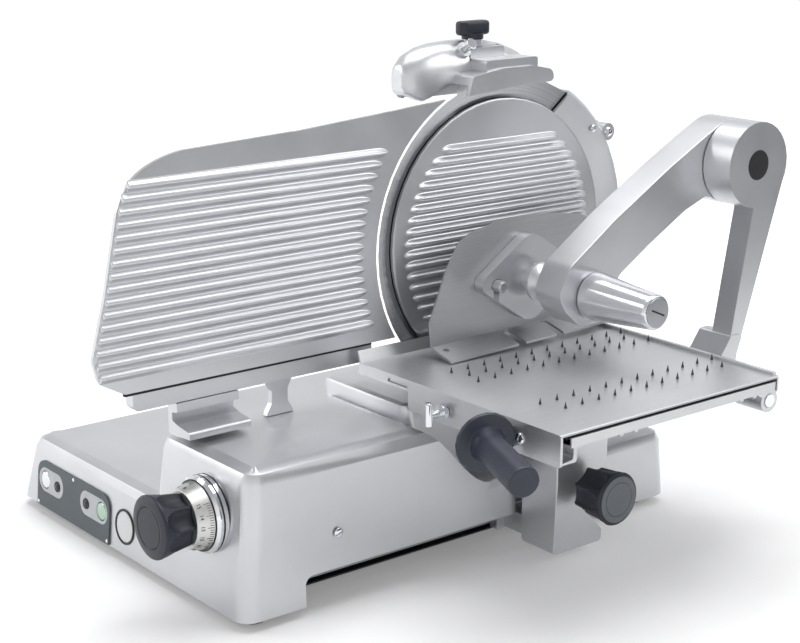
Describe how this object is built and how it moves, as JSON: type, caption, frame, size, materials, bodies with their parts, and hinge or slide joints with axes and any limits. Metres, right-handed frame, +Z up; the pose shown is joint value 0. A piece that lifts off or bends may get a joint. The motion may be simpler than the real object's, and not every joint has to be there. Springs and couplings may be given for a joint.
{
  "type": "vertical meat slicer",
  "caption": "Motor-driven vertical-blade meat slicer: cast casing, round blade with ribbed cover, ribbed fence, sliding meat table and hinged press arm",
  "frame": {"origin": "middle of the bounding box, at the height of the feet", "axes": "+Z up, -Y toward the operator, +Y the way the carriage runs away, +X the carriage side"},
  "size_m": [0.6698, 0.7604, 0.543],
  "materials": {
    "cast_aluminium": "satin cast",
    "polished_aluminium": "polished",
    "stainless": "brushed",
    "blade_steel": "ground and polished",
    "steel": "turned",
    "chrome": "bright",
    "green_chrome": "bright, faint green",
    "black_paint": "black paint",
    "light_plastic": "moulded",
    "bronze": "plain bearing",
    "navy_plastic": "moulded",
    "slate_plastic": "moulded",
    "panel_plastic": "moulded",
    "cream_plastic": "moulded",
    "rubber": "black",
    "stone": "sintered abrasive"
  },
  "bodies": {
    "machine": {"base_casing": "cast_aluminium", "bottom_plate": "black_paint", "foot_1": "rubber", "foot_2": "rubber", "foot_3": "rubber", "foot_4": "rubber", "control_panel": "panel_plastic", "start_pad": "light_plastic", "stop_pad": "light_plastic", "dial_flange": "chrome", "fence_guide": "steel", "blade_housing": "cast_aluminium", "belt_cover": "cast_aluminium", "shaft_bearing": "steel", "drive_motor": "steel", "drive_belt": "rubber", "blade_cover": "cast_aluminium", "guide_rod": "steel", "guide_bar": "steel", "rod_block_front": "cast_aluminium", "rod_block_far": "cast_aluminium"},
    "start_button": {"start_button": "chrome"},
    "stop_button": {"stop_button": "green_chrome"},
    "dial": {"dial_scale": "cream_plastic", "dial_knob": "navy_plastic", "dial_shaft": "steel", "scroll_cam": "steel"},
    "fence": {"fence_slide": "cast_aluminium", "fence_bar": "cast_aluminium", "fence_plate": "cast_aluminium", "fence_strut": "cast_aluminium"},
    "blade": {"blade": "blade_steel", "blade_shaft": "steel", "blade_nut": "steel", "blade_pulley": "steel"},
    "rotor": {"motor_pulley": "steel"},
    "sharpener": {"sharpener_housing": "cast_aluminium", "sharpener_stone_1": "stone", "sharpener_stone_2": "stone"},
    "sharpener_knob": {"sharpener_knob": "navy_plastic"},
    "sharpener_pin": {"sharpener_pin": "chrome"},
    "carriage": {"carriage_slider": "cast_aluminium", "slider_bush": "bronze", "carriage_column": "cast_aluminium", "carriage_plate": "cast_aluminium", "arm_rod": "chrome"},
    "lock_knob": {"lock_knob": "navy_plastic"},
    "meat_table": {"table_plate": "stainless", "table_runners": "stainless", "push_handle": "slate_plastic"},
    "table_pin": {"table_pin": "chrome"},
    "arm_bush": {"arm_bush": "bronze"},
    "press_arm": {"upright_arm": "cast_aluminium", "arm_plug": "rubber"},
    "link_arm": {"link_arm": "cast_aluminium", "arm_handle": "polished_aluminium", "handle_cap": "steel"},
    "pusher": {"pusher_plate": "stainless", "pusher_spool": "cast_aluminium", "pusher_stud": "chrome"}
  },
  "joints": [
    {"name": "start_button_press", "type": "slide", "parent": "machine", "child": "start_button", "axis": [0, 0.9967, -0.0817], "range_m": [0, 0.0025], "stiffness_N_per_m": 800, "springref_m": -0.001},
    {"name": "stop_button_press", "type": "slide", "parent": "machine", "child": "stop_button", "axis": [0, 0.9967, -0.0817], "range_m": [0, 0.0025], "stiffness_N_per_m": 800, "springref_m": -0.001},
    {"name": "dial_turn", "type": "hinge", "parent": "machine", "child": "dial", "pos_m": [0.05512, -0.29651, 0.103], "axis": [0, 1, 0], "range_deg": [0, 330]},
    {"name": "fence_opening", "type": "slide", "parent": "machine", "child": "fence", "axis": [-1, 0, 0], "range_m": [0, 0.016]},
    {"name": "blade_spin", "type": "hinge", "parent": "machine", "child": "blade", "pos_m": [-0.00688, 0.13349, 0.31], "axis": [1, 0, 0], "continuous": true},
    {"name": "rotor_spin", "type": "hinge", "parent": "machine", "child": "rotor", "pos_m": [-0.04688, 0.13349, 0.047], "axis": [1, 0, 0], "continuous": true},
    {"name": "sharpener_lift", "type": "slide", "parent": "machine", "child": "sharpener", "axis": [0, 0, 1], "range_m": [0, 0.04]},
    {"name": "sharpener_knob_turn", "type": "hinge", "parent": "sharpener", "child": "sharpener_knob", "pos_m": [-0.03588, 0.11649, 0.53], "axis": [0, 0, 1], "range_deg": [-180, 180]},
    {"name": "sharpener_pin_press", "type": "slide", "parent": "sharpener", "child": "sharpener_pin", "axis": [-0.8601, 0, -0.5101], "range_m": [0, 0.003], "stiffness_N_per_m": 600, "springref_m": -0.001},
    {"name": "carriage_travel", "type": "slide", "parent": "machine", "child": "carriage", "axis": [0, 1, 0], "range_m": [-0.26, 0.02]},
    {"name": "carriage_lock_turn", "type": "hinge", "parent": "carriage", "child": "lock_knob", "pos_m": [0.21312, 0.08149, 0.082], "axis": [1, 0, 0], "range_deg": [-180, 180]},
    {"name": "table_cross_travel", "type": "slide", "parent": "carriage", "child": "meat_table", "axis": [1, 0, 0], "range_m": [0, 0.03]},
    {"name": "table_pin_pull", "type": "slide", "parent": "meat_table", "child": "table_pin", "axis": [0, -1, 0], "range_m": [0, 0.008], "stiffness_N_per_m": 400, "springref_m": -0.002},
    {"name": "arm_slide", "type": "slide", "parent": "carriage", "child": "arm_bush", "axis": [1, 0, 0], "range_m": [-0.03, 0.02]},
    {"name": "arm_swing", "type": "hinge", "parent": "arm_bush", "child": "press_arm", "pos_m": [0.16312, 0.29149, 0.15], "axis": [1, 0, 0], "range_deg": [-40, 0]},
    {"name": "link_swing", "type": "hinge", "parent": "press_arm", "child": "link_arm", "pos_m": [0.14312, 0.33349, 0.392], "axis": [1, 0, 0], "range_deg": [-50, 0]},
    {"name": "pusher_float", "type": "hinge", "parent": "link_arm", "child": "pusher", "pos_m": [0.09312, 0.12549, 0.272], "axis": [1, 0, 0], "range_deg": [-1.5, 0]}
  ],
  "couplings": [
    {"joint": "fence_opening", "follows": "dial_turn", "m_per_rad": 0.002778},
    {"joint": "rotor_spin", "follows": "blade_spin", "ratio": 3.2222}
  ]
}
